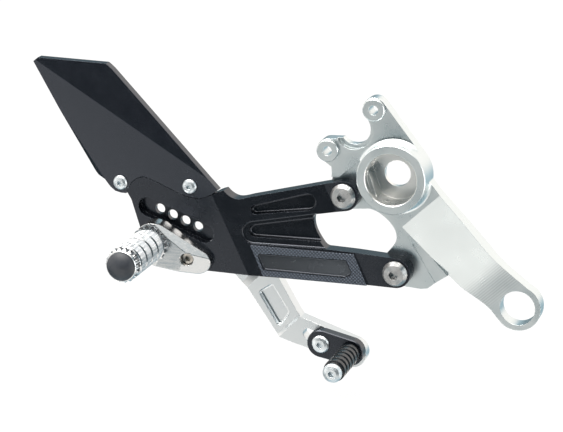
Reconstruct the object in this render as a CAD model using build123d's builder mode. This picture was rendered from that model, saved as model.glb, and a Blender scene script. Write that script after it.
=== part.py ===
import math
import os

from build123d import *

os.makedirs("parts", exist_ok=True)

# Frame: X forward, Z up, outward is minus Y. Heights are measured outward from the carrier's rear face.

# Clearances
RUN_GAP = 0.05
BOLT_GAP = 0.15
SEAM_GAP = 0.6
TIP_GAP = 2.2
FACE_GAP = 0.05
STOP_GAP = 0.4

# Lengths of cutters that pass right through
REACH = 400.0
DEEP = 60.0

# Heights of the faces
H_SEAT = 6.0
H_RIB = 10.0
H_EAR = 12.5
H_BOSS = 22.0
H_EYE = 0.0
EYE_THICK = 11.0
BRACKET_THICK = 10.0
H_PAD = H_SEAT + BRACKET_THICK
BEND_RISE = 7.0
H_PLATE = H_PAD + BEND_RISE
H_BACK = H_PLATE - BRACKET_THICK

# Carrier plate
BOSS_R = 23.75
BORE_R = 17.8
BORE_FLOOR = 4.0
BORE_FLAT = 15.0
BORE_FLAT_DEG = 200.0
BORE_FLAT_TOP = 6.0
PIVOT_R = 9.0
EAR_R = 8.0
EAR_PAD_R = 7.6
EAR_HOLE_R = 3.3
EAR_UP = (-15.2, 44.2)
EAR_LEFT = (-47.0, 13.6)
NOTCH_C = (-29.5, 29.2)
NOTCH_R = 10.9
RIB_NOTCH_R = 13.8
ARM_DEG = -46.4
ARM_LEN = 121.2
ARM_LEFT = -20.7
EYE_LEAD = 26.2
RAMP_START = 29.2
RAMP_END = ARM_LEN - EYE_LEAD
REAR_START = 26.0
REAR_LEAD = 45.2
EYE_R = 15.8
EYE_HOLE_R = 12.0
BOSS_FILLET = 3.0
RIB_FILLET = 3.0
RAMP_BLEND = 90.0
RIM_BREAK = 0.5
SEAT_R = 11.6
SEAT_STEP = 0.35
FLANGE_END = 74.3

# Bracket
BOLT_UP = (-34.2, -15.9)
BOLT_LOW = (2.6, -66.6)
ARM_END_R = 10.4
BEND_DEG = 25.5
BEND_T0 = -122.8
BEND_T1 = -47.0
SLOT_A = (-173.0, -34.3)
SLOT_B = (-131.5, -49.6)
SLOT_R = 6.9
SLOT_DEPTH = 6.0
ADJUST_R = 3.6
ADJUST_PITCH = 9.9
TAB_THICK = 4.0
POCKET_DEPTH = 4.5
WEB_STEP = 2.2
WEB_DEPTH = 6.2
PANEL_DEPTH = 1.2
POCKET_COVE = 1.8
WEB_COVE = 1.2
PANEL_COVE = 0.7
BOLT_R = 4.0
BOLT_HEAD_R = 8.7
BOLT_HEAD_H = 4.6

# Heel guard
GUARD_THICK = H_PLATE - H_BACK - TAB_THICK
GUARD_FOLD_DEG = 6.0
FOLD_AT = (-196.1, 29.2)
FOLD_DEG = 59.5
BEVEL_TOP = (-236.0, 28.0)
BEVEL_LOW = (-205.2, -16.4)
BEVEL_EDGE = (-212.6, -13.0)
BEVEL_DROP = 3.0
GUARD_SCREW_L = (-192.9, -18.7)
GUARD_SCREW_R = (-141.8, -16.9)
GUARD_SCREW_R_MM = 2.5
GUARD_HEAD_R = 5.1
GUARD_HEAD_H = 2.6

# Footpeg
PEG = (-165.0, -55.5)
HUB_R = 13.3
HOLDER_END = (-133.9, -69.2)
HOLDER_END_R = 8.0
HOLDER_HEEL = (-160.4, -60.2)
HOLDER_HEEL_R = 12.6
HOLDER_BREAK = 2.4
HOLDER_FLAT = 9.0
HOLDER_KNEE = 25.0
HOLDER_EASE = 1.6
HOLDER_THICK = 13.0
H_PEG = H_PLATE + HOLDER_THICK
PEG_LEN = 56.0
PEG_R = 12.0
PEG_RING_R = 13.0
PEG_TIP_R = 10.4
PEG_BORE_R = 8.6
PEG_TEETH = 18
PEG_BANDS = 4
PEG_BOLT_R = 5.0
HOLDER_BOLT_AT = 26.4
HOLDER_BOLT_R = 2.5
HOLDER_HEAD_R = 4.2
HOLDER_SEAT = 2.6
HOLDER_LIP = 3.4
PEG_BORE = 22.0
CAP_R = 9.8
CAP_RISE = 4.6

# Brake lever
PIVOT = (-125.0, -58.0)
LEVER_THICK = 9.0
LEVER_A = 7.0
LEVER_B = 10.5
LEVER_C = 14.0
STEP_DEG = -42.9
STEP_A0 = -21.0
STEP_A1 = -15.6
STEP_B0 = 21.9
STEP_B1 = 24.3
LEVER_HUB_R = 12.0
LEVER_HUB_H = 12.0
BUSH_R = 8.0
SHOULDER_R = 6.0
PIVOT_THREAD_R = 4.0
PIVOT_DEPTH = 8.0
STOP_ALONG = 0.5
STOP_PIN_R = 4.0
STOP_SHANK_R = 2.5
STOP_DEPTH = 4.0
TAIL = (-154.5, -68.5)
TAIL_R = 6.2
TAIL_HOLE_R = 3.1
SLOT_DEG = -19.7
SLOT_HALF = 3.75
SLOT_BACK = 12.0
SLOT_FORE = 7.0
LEVER_POCKET = 3.0
STOP_SEAT = 12.0
THRUST_THICK = 1.2

# Toe peg
TOE_SCREW = (-48.1, -121.4)
TOE_PEG = (-27.2, -125.4)
TOE_BLOCK = 7.0
TOE_R = 9.8
TOE_END_R = 9.3
TOE_SLEEVE_R = 7.5
TOE_SLEEVE_LEN = 39.5
TOE_RIDGES = 6
TOE_BOLT_R = 3.0
TOE_HEAD_R = 6.2
TOE_HEAD_H = 2.4
TOE_END_HEAD_R = 6.6
TOE_END_HEAD_H = 3.8


def at(height):
    """Plane parallel to the rear face at a height outward from it; local axes are X and Z."""
    return Plane.XZ.offset(height)


def lathe(point):
    """Plane through an axis along Y; local axes are radius and height."""
    return Plane(origin=(point[0], 0, point[1]), x_dir=(1, 0, 0), z_dir=(0, 0, -1))


def spin(point):
    """Axis along Y through a point."""
    return Axis((point[0], 0, point[1]), (0, -1, 0))


def along(deg):
    """Unit vector in X and Z at an angle."""
    return (math.cos(math.radians(deg)), math.sin(math.radians(deg)))


def side(deg):
    """Plane whose local axes are the distance along an angle in X and Z, and the height."""
    ux, uz = along(deg)
    return Plane(origin=(0, 0, 0), x_dir=(ux, 0, uz), z_dir=(uz, 0, -ux))


def move(point, deg, far):
    """Point moved a distance along an angle."""
    ux, uz = along(deg)
    return (point[0] + ux * far, point[1] + uz * far)


def turned(profile, point):
    """Solid of revolution from a closed profile of radius and height."""
    with BuildPart() as body:
        with BuildSketch(lathe(point)):
            with BuildLine():
                Polyline(*profile, close=True)
            make_face()
        revolve(axis=spin(point))
    return body.part


def disc(radius, height, point):
    """Round boss from the rear face to a height, with a broken rim."""
    rim = height - RIM_BREAK
    return turned([(0, 0), (radius, 0), (radius, rim), (radius - RIM_BREAK, height), (0, height)], point)


def bevel(*corners):
    """Plane facing outward through three points given as a place in X and Z, and a height."""
    a, b, c = [Vector(place[0], -height, place[1]) for place, height in corners]
    out = (b - a).cross(c - a)
    if out.Y > 0:
        out = out * -1
    return Plane(origin=a, x_dir=b - a, z_dir=out)


def bracket_front(offset):
    """Corners of the bracket's bent front, lowered by an offset, as distance across the bend and height."""
    plate = H_PLATE - offset
    pad = H_PAD - offset
    return [(-REACH, plate), (BEND_T0, plate), (BEND_T1, pad), (REACH, pad)]


def sunk(rounds, floor, corner):
    """Cutter for a pocket: outline round circles, floor profile across the bend, cove at the floor."""
    with BuildPart() as cutter:
        with BuildSketch(at(0)):
            for x, z, radius in rounds:
                with Locations((x, z)):
                    Circle(radius)
            make_hull()
        extrude(amount=DEEP)
        with BuildSketch(side(BEND_DEG)):
            with BuildLine():
                Polyline(*floor, (REACH, DEEP), (-REACH, DEEP), close=True)
            make_face()
        extrude(amount=REACH, both=True, mode=Mode.INTERSECT)
        fillet(cutter.faces().sort_by(Axis.Y)[-1].edges(), corner)
    return cutter.part


# Stop pin beside the lever's upper edge
LEVER_TOP_A = (-122.0, -46.4)
LEVER_TOP_B = (-96.4, -57.0)
lever_top_deg = math.degrees(math.atan2(LEVER_TOP_B[1] - LEVER_TOP_A[1], LEVER_TOP_B[0] - LEVER_TOP_A[0]))
lever_top_at = move(LEVER_TOP_A, lever_top_deg, STOP_ALONG * math.dist(LEVER_TOP_A, LEVER_TOP_B))
STOP_PIN = move(lever_top_at, lever_top_deg + 90, STOP_PIN_R + STOP_GAP)

# Line of the peg holder
holder_deg = math.degrees(math.atan2(HOLDER_END[1] - PEG[1], HOLDER_END[0] - PEG[0]))
holder_bolt = move(PEG, holder_deg, HOLDER_BOLT_AT)


# Outlines shared by the carrier's levels
with BuildSketch() as arm_plan:
    with BuildLine():
        waist = ARM_LEN - 41.2
        Line((-4, ARM_LEFT), (waist, ARM_LEFT))
        Spline((waist, ARM_LEFT), (waist + 18, ARM_LEFT + 2.9), (waist + 30, 0.4 - EYE_R), (ARM_LEN, -EYE_R),
               tangents=((1, 0), (1, 0)))
        Line((ARM_LEN, -EYE_R), (ARM_LEN, EYE_R))
        Spline((ARM_LEN, EYE_R), (ARM_LEN - 13.2, EYE_R - 2.4), (ARM_LEN - 33.2, EYE_R - 5.1),
               (ARM_LEN - 61.2, EYE_R - 3.4), (30, 14.6), (8, 17.0))
        Line((8, 17.0), (-4, ARM_LEFT))
    make_face()
    with Locations((ARM_LEN, 0)):
        Circle(EYE_R)

with BuildSketch() as rib_up:
    with Locations(EAR_UP):
        Circle(EAR_R)
    Circle(BOSS_R)
    make_hull()

with BuildSketch() as rib_left:
    with Locations(EAR_LEFT):
        Circle(EAR_R)
    Circle(BOSS_R)
    make_hull()

with BuildSketch() as ear_plan:
    add(rib_up.sketch)
    add(rib_left.sketch)
    with BuildLine():
        Polyline(EAR_LEFT, EAR_UP, (0, 0), close=True)
    make_face()
    with BuildLine():
        Line((-30, 8), (-45.6, 5.5))
        ThreePointArc((-45.6, 5.5), (-44.4, -1.0), (-45.4, -8.0))
        Polyline((-45.4, -8.0), (-45.4, -14), (-30, -14), (-30, 8))
    make_face()

with BuildSketch() as rib_plan:
    add(ear_plan.sketch)
    with Locations(NOTCH_C):
        Circle(RIB_NOTCH_R, mode=Mode.SUBTRACT)
    with BuildLine():
        Polyline((-70, -5.0), (-39.4, -5.0), (-25, 8.7), (-10, -10), (-10, -40), (-70, -40), close=True)
    make_face(mode=Mode.SUBTRACT)

with BuildSketch() as seat_up:
    with Locations(BOLT_UP):
        Circle(SEAT_R)
    Circle(BOSS_R)
    make_hull()

with BuildSketch() as seat_plan:
    add(ear_plan.sketch)
    with Locations(NOTCH_C):
        Circle(NOTCH_R, mode=Mode.SUBTRACT)
    add(seat_up.sketch)
    with BuildLine():
        Spline((-26, -26.0), (-14.2, -27.2), (-6.6, -32), (-0.4, -40), (0.4, -45.5), (-2.2, -51),
               (-7.0, -57))
        flange_tip = move(move((0, 0), ARM_DEG, FLANGE_END), ARM_DEG + 90, ARM_LEFT)
        flange_top = move(move((0, 0), ARM_DEG, RAMP_START), ARM_DEG + 90, ARM_LEFT)
        Polyline((-7.0, -57), BOLT_LOW, (BOLT_LOW[0], BOLT_LOW[1] - SEAT_R), (18, -79.2), (22.6, -78.4),
                 (27.6, -74.2), flange_tip, flange_top, (0, 0), (-26, -26.0))
    make_face()
    with Locations(BOLT_LOW):
        Circle(SEAT_R)


def flare(radius):
    """Ring with a hollow round flank, from the boss out to the ribs' level."""
    with BuildPart() as ring:
        with BuildSketch(lathe((0, 0))):
            with BuildLine():
                Line((BOSS_R - 2, H_RIB), (BOSS_R + radius, H_RIB))
                RadiusArc((BOSS_R + radius, H_RIB), (BOSS_R, H_RIB + radius), radius)
                Polyline((BOSS_R, H_RIB + radius), (BOSS_R - 2, H_RIB + radius), (BOSS_R - 2, H_RIB))
            make_face()
        revolve(axis=spin((0, 0)))
    return ring.part


# Flared foot of the boss, kept to the ribs and the arm
arm_plane = Plane(origin=(0, 0, 0), x_dir=(along(ARM_DEG)[0], 0, along(ARM_DEG)[1]), z_dir=(0, -1, 0))
with BuildPart() as rib_foot:
    with BuildSketch(at(H_RIB)):
        add(rib_plan.sketch)
    extrude(amount=RIB_FILLET)
    add(flare(RIB_FILLET), mode=Mode.INTERSECT)

with BuildPart() as arm_foot:
    with BuildSketch(arm_plane.offset(H_RIB)):
        add(arm_plan.sketch)
    extrude(amount=BOSS_FILLET)
    add(flare(BOSS_FILLET), mode=Mode.INTERSECT)

# Carrier plate
with BuildPart() as carrier:
    with BuildSketch(arm_plane.offset(H_EYE - EYE_THICK)):
        add(arm_plan.sketch)
    extrude(amount=EYE_THICK - H_EYE + H_RIB)
    with BuildSketch(side(ARM_DEG)) as arm_side:
        with BuildLine():
            Polyline((-REACH, H_RIB), (RAMP_START, H_RIB), (RAMP_END, H_EYE), (REACH, H_EYE),
                     (REACH, H_EYE - EYE_THICK), (ARM_LEN - REAR_LEAD, H_EYE - EYE_THICK), (REAR_START, 0),
                     (-REACH, 0), close=True)
        make_face()
        fillet(arm_side.vertices().sort_by_distance((RAMP_END, H_EYE, 0))[0], RAMP_BLEND)
    extrude(amount=REACH, both=True, mode=Mode.INTERSECT)
    with BuildSketch(at(0)):
        add(seat_plan.sketch)
    extrude(amount=H_SEAT)
    # Shallow step in the seat beside the arm
    with BuildSketch(arm_plane.offset(H_SEAT)):
        with BuildLine():
            Polyline((FLANGE_END - 32, ARM_LEFT), (FLANGE_END - 32, ARM_LEFT - 3.8),
                     (FLANGE_END + 6, ARM_LEFT - 11.6), (FLANGE_END + 6, ARM_LEFT), close=True)
        make_face()
    extrude(amount=-SEAT_STEP, mode=Mode.SUBTRACT)
    with BuildSketch(at(0)):
        add(rib_plan.sketch)
    extrude(amount=H_RIB)
    for point in (EAR_UP, EAR_LEFT):
        add(disc(EAR_PAD_R, H_EAR, point))
    add(disc(BOSS_R, H_BOSS, (0, 0)))
    add(rib_foot.part)
    add(arm_foot.part)
    # Stepped bore with its flat
    lip = BORE_R + RIM_BREAK
    flat_top = H_BOSS - BORE_FLAT_TOP
    mouth = [(0, flat_top), (BORE_R, flat_top), (BORE_R, H_BOSS - RIM_BREAK), (lip, H_BOSS), (0, H_BOSS)]
    add(turned(mouth, (0, 0)), mode=Mode.SUBTRACT)
    with BuildSketch(at(flat_top)):
        Circle(BORE_R)
        with Locations(move((0, 0), BORE_FLAT_DEG, BORE_FLAT + 10)):
            Rectangle(20, 60, rotation=BORE_FLAT_DEG, mode=Mode.SUBTRACT)
    extrude(amount=BORE_FLOOR - flat_top, mode=Mode.SUBTRACT)
    with BuildSketch(at(H_BOSS)):
        Circle(PIVOT_R)
    extrude(amount=-H_BOSS, mode=Mode.SUBTRACT)
    with BuildSketch(at(H_EAR)):
        with Locations(EAR_UP, EAR_LEFT):
            Circle(EAR_HOLE_R)
    extrude(amount=-H_EAR, mode=Mode.SUBTRACT)
    with BuildSketch(at(H_SEAT)):
        with Locations(BOLT_UP, BOLT_LOW):
            Circle(BOLT_R + BOLT_GAP)
    extrude(amount=-H_SEAT, mode=Mode.SUBTRACT)
    with BuildSketch(arm_plane.offset(H_EYE)):
        with Locations((ARM_LEN, 0)):
            Circle(EYE_HOLE_R)
    extrude(amount=-EYE_THICK, mode=Mode.SUBTRACT)
carrier.part.label = "carrier_plate"
export_step(carrier.part, "parts/carrier_plate.step")

# Seam between bracket and heel guard
SEAM = [(-188.3, -25.0), (-185.9, -20.2), (-181.5, -15.6), (-176.0, -13.6), (-170.5, -14.8),
        (-157.6, -19.8), (-143.6, -24.7), (-137.5, -25.4), (-131.0, -24.2), (-123.4, -20.3), (-117.5, -17.9)]

up_top = move(BOLT_UP, 103.8, ARM_END_R)
up_end = move(BOLT_UP, 0, ARM_END_R)
up_low = move(BOLT_UP, -79.4, ARM_END_R)
low_top = move(BOLT_LOW, 87.2, ARM_END_R)
low_end = move(BOLT_LOW, 0, ARM_END_R)
low_low = move(BOLT_LOW, -90, ARM_END_R)
with BuildSketch() as bracket_plan:
    with BuildLine():
        Spline(*SEAM)
        Spline(SEAM[-1], (-113.6, -21.4), (-108.8, -23.2), (-103.6, -22.6), (-98.7, -21.1))
        Line((-98.7, -21.1), up_top)
        ThreePointArc(up_top, up_end, up_low)
        Line(up_low, (-53.4, -30.0))
        Spline((-53.4, -30.0), (-55.6, -32.4), (-56.1, -36.0), (-50.2, -50.0), (-47.0, -53.4),
               (-44.0, -54.0))
        Line((-44.0, -54.0), low_top)
        ThreePointArc(low_top, low_end, low_low)
        Line(low_low, (-130.2, -76.4))
        Spline((-130.2, -76.4), (-150, -73.4), (-168, -68.6), (-176, -60), (-179.2, -49.0))
        Polyline((-179.2, -49.0), (-185.2, -30.0), SEAM[0])
    make_face()

# Upper pocket, two steps of the web between the arms, recess in the knurled panel
UPPER_POCKET = [(-95.4, -29.8, 3.3), (-59.2, -22.0, 6.0)]
WEB_OUTER = [(-97.0, -46.0, 8.0), (-53.6, -31.6, 2.2), (-43.6, -51.6, 2.2), (-37.0, -42.0, 2.2)]
WEB_INNER = [(-96.0, -45.2, 4.5), (-54.6, -35.4, 2.6), (-46.6, -47.0, 2.6), (-39.0, -41.0, 2.6)]
PANEL_RECESS = [(-91.2, -62.4, 1.4), (-87.6, -69.8, 1.6), (-33.0, -70.9, 1.6), (-29.8, -69.3, 1.4),
                (-33.2, -62.7, 1.6)]

# Footrest bracket
with BuildPart() as bracket:
    with BuildSketch(at(0)):
        add(bracket_plan.sketch)
    extrude(amount=DEEP)
    with BuildSketch(side(BEND_DEG)):
        with BuildLine():
            front = bracket_front(0)
            rear = bracket_front(BRACKET_THICK)
            Polyline(*front, *reversed(rear), close=True)
        make_face()
    extrude(amount=REACH, both=True, mode=Mode.INTERSECT)
    # Tab behind the heel guard
    with BuildSketch(at(H_BACK)) as tab:
        with BuildLine():
            Polyline((-186.5, -28.0), (-194, -25.2), (-199.5, -19.5), (-199.5, -14.0), (-192, -9.0),
                     (-170, -6.0), (-148, -7.5), (-137.5, -12.2), (-128.5, -18.6), (-124.5, -22.5),
                     (-150, -34), close=True)
        make_face()
    extrude(amount=TAB_THICK)
    add(sunk(UPPER_POCKET, bracket_front(POCKET_DEPTH), POCKET_COVE), mode=Mode.SUBTRACT)
    add(sunk(WEB_OUTER, bracket_front(WEB_STEP), WEB_COVE), mode=Mode.SUBTRACT)
    add(sunk(WEB_INNER, bracket_front(WEB_DEPTH), POCKET_COVE), mode=Mode.SUBTRACT)
    add(sunk(PANEL_RECESS, bracket_front(PANEL_DEPTH), PANEL_COVE), mode=Mode.SUBTRACT)
    # Recess with the four adjustment holes
    slot_deg = math.degrees(math.atan2(SLOT_B[1] - SLOT_A[1], SLOT_B[0] - SLOT_A[0]))
    slot_len = math.dist(SLOT_A, SLOT_B)
    slot_mid = ((SLOT_A[0] + SLOT_B[0]) / 2, (SLOT_A[1] + SLOT_B[1]) / 2)
    holes = [move(slot_mid, slot_deg, (i - 1.5) * ADJUST_PITCH) for i in range(4)]
    with BuildSketch(at(H_PLATE)):
        with Locations(slot_mid):
            SlotCenterToCenter(slot_len, 2 * SLOT_R, rotation=slot_deg)
    extrude(amount=-SLOT_DEPTH, mode=Mode.SUBTRACT)
    with BuildSketch(at(H_PLATE)):
        with Locations(*holes):
            Circle(ADJUST_R)
    extrude(amount=-BRACKET_THICK, mode=Mode.SUBTRACT)
    # Bolt holes
    with BuildSketch(at(H_PAD)):
        with Locations(BOLT_UP, BOLT_LOW):
            Circle(BOLT_R + BOLT_GAP)
    extrude(amount=-BRACKET_THICK, mode=Mode.SUBTRACT)
    with BuildSketch(at(H_BACK)):
        with Locations(GUARD_SCREW_L, GUARD_SCREW_R):
            Circle(GUARD_SCREW_R_MM + BOLT_GAP)
        with Locations(PEG):
            Circle(PEG_BOLT_R + BOLT_GAP)
        with Locations(holder_bolt):
            Circle(HOLDER_BOLT_R + BOLT_GAP)
    extrude(amount=BRACKET_THICK, mode=Mode.SUBTRACT)
    with BuildSketch(at(H_BACK)):
        with Locations(PIVOT):
            Circle(PIVOT_THREAD_R + BOLT_GAP)
    extrude(amount=PIVOT_DEPTH, mode=Mode.SUBTRACT)
    with BuildSketch(at(H_BACK - 3)):
        with Locations(STOP_PIN):
            Circle(STOP_SHANK_R + BOLT_GAP)
    extrude(amount=STOP_DEPTH + 3, mode=Mode.SUBTRACT)
bracket.part.label = "footrest_bracket"
export_step(bracket.part, "parts/footrest_bracket.step")

# Heel guard
GUARD = [(-256.0, 62.4), (-252.6, 65.2), (-203.0, 63.9), (-198.6, 60.4), (-120.6, -18.6), (-121.5, -30),
         (-180.0, -26.8), (-189.0, -26.2), (-193.0, -26.1), (-197.0, -25.2), (-200.6, -22.4), (-204.6, -17.5),
         (-210.4, -15.4), (-212.6, -13.0)]
fold_t = FOLD_AT[0] * along(FOLD_DEG)[0] + FOLD_AT[1] * along(FOLD_DEG)[1]
fold_drop = REACH * math.tan(math.radians(GUARD_FOLD_DEG))
seam_top = [(x, z + SEAM_GAP) for x, z in SEAM[:-2]]
seam_top.append((SEAM[-2][0], SEAM[-2][1] + TIP_GAP * 0.5))
seam_top.append((SEAM[-1][0], SEAM[-1][1] + TIP_GAP))
seam_left = SEAM[0][0] - SEAM_GAP
with BuildSketch() as guard_plan:
    with BuildLine():
        Polyline(*GUARD, close=True)
    make_face()
    with BuildLine():
        Spline(*seam_top)
        Polyline(seam_top[-1], (SEAM[-1][0], -90), (seam_left, -90), (seam_left, SEAM[0][1]), seam_top[0])
    make_face(mode=Mode.SUBTRACT)

with BuildPart() as guard:
    with BuildSketch(at(0)):
        add(guard_plan.sketch)
    extrude(amount=DEEP)
    with BuildSketch(side(FOLD_DEG)):
        with BuildLine():
            Polyline((fold_t - REACH, H_PLATE), (fold_t, H_PLATE), (fold_t + REACH, H_PLATE - fold_drop),
                     (fold_t + REACH, H_PLATE - fold_drop - GUARD_THICK), (fold_t, H_PLATE - GUARD_THICK),
                     (fold_t - REACH, H_PLATE - GUARD_THICK), close=True)
        make_face()
    extrude(amount=REACH, both=True, mode=Mode.INTERSECT)
    # Bevel that widens down the rear edge
    with BuildSketch(bevel((BEVEL_LOW, H_PLATE), (BEVEL_TOP, H_PLATE), (BEVEL_EDGE, H_PLATE - BEVEL_DROP))):
        Rectangle(REACH, REACH)
    extrude(amount=DEEP, mode=Mode.SUBTRACT)
    with BuildSketch(at(H_PLATE)):
        with Locations(GUARD_SCREW_L, GUARD_SCREW_R):
            Circle(GUARD_SCREW_R_MM + BOLT_GAP)
    extrude(amount=-GUARD_THICK - 1, mode=Mode.SUBTRACT)
guard.part.label = "heel_guard"
export_step(guard.part, "parts/heel_guard.step")

# Bracket bolts
SHANK_END = 0.6
bolt_profile = [(0, SHANK_END), (BOLT_R - 0.6, SHANK_END), (BOLT_R, SHANK_END + 0.6),
                (BOLT_R, H_PAD + FACE_GAP), (BOLT_HEAD_R, H_PAD + FACE_GAP), (BOLT_HEAD_R, H_PAD + 1.2),
                (BOLT_HEAD_R - 1.9, H_PAD + BOLT_HEAD_H), (0, H_PAD + BOLT_HEAD_H)]
with BuildPart() as bolts:
    add(turned(bolt_profile, BOLT_UP))
    add(turned(bolt_profile, BOLT_LOW))
    with BuildSketch(at(H_PAD + BOLT_HEAD_H)):
        with Locations(BOLT_UP, BOLT_LOW):
            RegularPolygon(3.0, 6, major_radius=False)
    extrude(amount=-3.4, mode=Mode.SUBTRACT)
bolts.part.label = "bracket_bolts"
export_step(bolts.part, "parts/bracket_bolts.step")


def button(point, radius, shank, foot, seat, rise):
    """Round-headed screw: shank from foot to seat, domed head above the seat."""
    top = radius * 0.55
    return turned([(0, foot), (shank, foot), (shank, seat), (radius, seat), (radius, seat + rise * 0.3),
                   (radius * 0.86, seat + rise * 0.75), (top, seat + rise), (0, seat + rise)], point)


# Heel guard screws
with BuildPart() as guard_screws:
    for point in (GUARD_SCREW_L, GUARD_SCREW_R):
        add(button(point, GUARD_HEAD_R, GUARD_SCREW_R_MM, H_BACK + 0.4, H_PLATE + FACE_GAP, GUARD_HEAD_H))
    with BuildSketch(at(H_PLATE + GUARD_HEAD_H + FACE_GAP)):
        with Locations(GUARD_SCREW_L, GUARD_SCREW_R):
            RegularPolygon(1.5, 6, major_radius=False)
    extrude(amount=-1.9, mode=Mode.SUBTRACT)
guard_screws.part.label = "heel_guard_screws"
export_step(guard_screws.part, "parts/heel_guard_screws.step")

# Peg holder
holder_far = math.dist(PEG, HOLDER_END)
holder_mid = PEG[0] * along(holder_deg)[0] + PEG[1] * along(holder_deg)[1]
holder_tip = holder_mid + holder_far + HOLDER_END_R + 1
holder_fall = (HOLDER_THICK - HOLDER_EASE - HOLDER_LIP) / (holder_tip - holder_mid - HOLDER_KNEE)
holder_up = holder_deg + 90 - math.degrees(math.asin((HUB_R - HOLDER_END_R) / holder_far))
edge_a = move(PEG, holder_up, HUB_R)
edge_b = move(HOLDER_END, holder_up, HOLDER_END_R)
edge_c = move(PEG, holder_up, HUB_R - HOLDER_BREAK)
end_far = holder_far + HOLDER_END_R * math.cos(math.radians(holder_up - holder_deg))
end_drop = HOLDER_EASE + holder_fall * (end_far - HOLDER_KNEE)
with BuildPart() as holder:
    with BuildSketch(at(H_PLATE + FACE_GAP)):
        with Locations(PEG):
            Circle(HUB_R)
        with Locations(HOLDER_END):
            Circle(HOLDER_END_R)
        with Locations(HOLDER_HEEL):
            Circle(HOLDER_HEEL_R)
        make_hull()
    extrude(amount=HOLDER_THICK - FACE_GAP)
    with BuildSketch(side(holder_deg)):
        with BuildLine():
            Polyline((holder_mid - REACH, H_PLATE), (holder_mid - REACH, H_PEG),
                     (holder_mid + HOLDER_FLAT, H_PEG), (holder_mid + HOLDER_KNEE, H_PEG - HOLDER_EASE),
                     (holder_tip, H_PLATE + HOLDER_LIP), (holder_tip, H_PLATE), close=True)
        make_face()
    extrude(amount=REACH, both=True, mode=Mode.INTERSECT)
    with BuildSketch(bevel((edge_a, H_PEG - HOLDER_BREAK), (edge_b, H_PEG - end_drop - HOLDER_BREAK),
                           (edge_c, H_PEG))):
        Rectangle(REACH, REACH)
    extrude(amount=DEEP, mode=Mode.SUBTRACT)
    with BuildSketch(at(H_PEG)):
        with Locations(holder_bolt):
            Circle(HOLDER_HEAD_R + 0.35)
    extrude(amount=H_PLATE + HOLDER_SEAT - H_PEG, mode=Mode.SUBTRACT)
    with BuildSketch(at(H_PEG)):
        with Locations(holder_bolt):
            Circle(HOLDER_BOLT_R + BOLT_GAP)
        with Locations(PEG):
            Circle(PEG_BOLT_R + BOLT_GAP)
    extrude(amount=-HOLDER_THICK, mode=Mode.SUBTRACT)
holder.part.label = "peg_holder"
export_step(holder.part, "parts/peg_holder.step")

# Peg holder bolt
holder_seat = H_PLATE + HOLDER_SEAT + FACE_GAP
with BuildPart() as holder_screw:
    add(turned([(0, H_BACK + 0.4), (HOLDER_BOLT_R, H_BACK + 0.4), (HOLDER_BOLT_R, holder_seat),
                (HOLDER_HEAD_R, holder_seat), (HOLDER_HEAD_R, holder_seat + 4.6),
                (HOLDER_HEAD_R - 0.5, holder_seat + 5.1), (0, holder_seat + 5.1)], holder_bolt))
    with BuildSketch(at(holder_seat + 5.1)):
        with Locations(holder_bolt):
            RegularPolygon(2.0, 6, major_radius=False)
    extrude(amount=-2.6, mode=Mode.SUBTRACT)
holder_screw.part.label = "peg_holder_bolt"
export_step(holder_screw.part, "parts/peg_holder_bolt.step")

# Footpeg
peg_0 = H_PEG + FACE_GAP
peg_1 = H_PEG + PEG_LEN
band_0 = H_PEG + 9.0
band_1 = peg_1 - 7.0
band = (band_1 - band_0) / PEG_BANDS
peg_hole = PEG_BOLT_R + BOLT_GAP
peg_root = PEG_R - 1.0
peg_tip = PEG_TIP_R + 0.4
peg_profile = [(peg_hole, peg_0), (PEG_R - 1.6, peg_0), (PEG_R - 1.6, H_PEG + 3.2), (PEG_RING_R, H_PEG + 3.8),
               (PEG_RING_R, H_PEG + 7.2), (peg_root, H_PEG + 7.8)]
for i in range(PEG_BANDS):
    start = band_0 + i * band
    peg_profile += [(peg_root, start), (PEG_R, start + 0.6), (PEG_R, start + band - 1.8),
                    (peg_root, start + band - 1.2)]
peg_profile += [(peg_root, band_1 + 0.6), (PEG_R, band_1 + 1.2), (PEG_R, band_1 + 4.4),
                (peg_tip, band_1 + 5.2), (peg_tip, peg_1 - 0.6), (PEG_TIP_R, peg_1), (PEG_BORE_R, peg_1),
                (PEG_BORE_R, peg_1 - PEG_BORE), (peg_hole, peg_1 - PEG_BORE)]
with BuildPart() as peg:
    add(turned(peg_profile, PEG))
    # Teeth cut in the two end rings
    with BuildSketch(at(H_PEG + 2.0)):
        with Locations(PEG):
            with PolarLocations(PEG_RING_R + 0.6, PEG_TEETH):
                Circle(1.5)
    extrude(amount=6.4, mode=Mode.SUBTRACT)
    with BuildSketch(at(band_1 + 0.8)):
        with Locations(PEG):
            with PolarLocations(PEG_R + 0.6, PEG_TEETH):
                Circle(1.4)
    extrude(amount=5.0, mode=Mode.SUBTRACT)
peg.part.label = "footpeg"
export_step(peg.part, "parts/footpeg.step")

# Peg bolt washer
washer_0 = peg_1 - PEG_BORE + FACE_GAP
with BuildPart() as peg_washer:
    add(turned([(PEG_BOLT_R + 0.4, washer_0), (PEG_BORE_R - 0.3, washer_0),
                (PEG_BORE_R - 0.3, washer_0 + 1.6), (PEG_BOLT_R + 0.4, washer_0 + 1.6)], PEG))
peg_washer.part.label = "peg_bolt_washer"
export_step(peg_washer.part, "parts/peg_bolt_washer.step")

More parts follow.
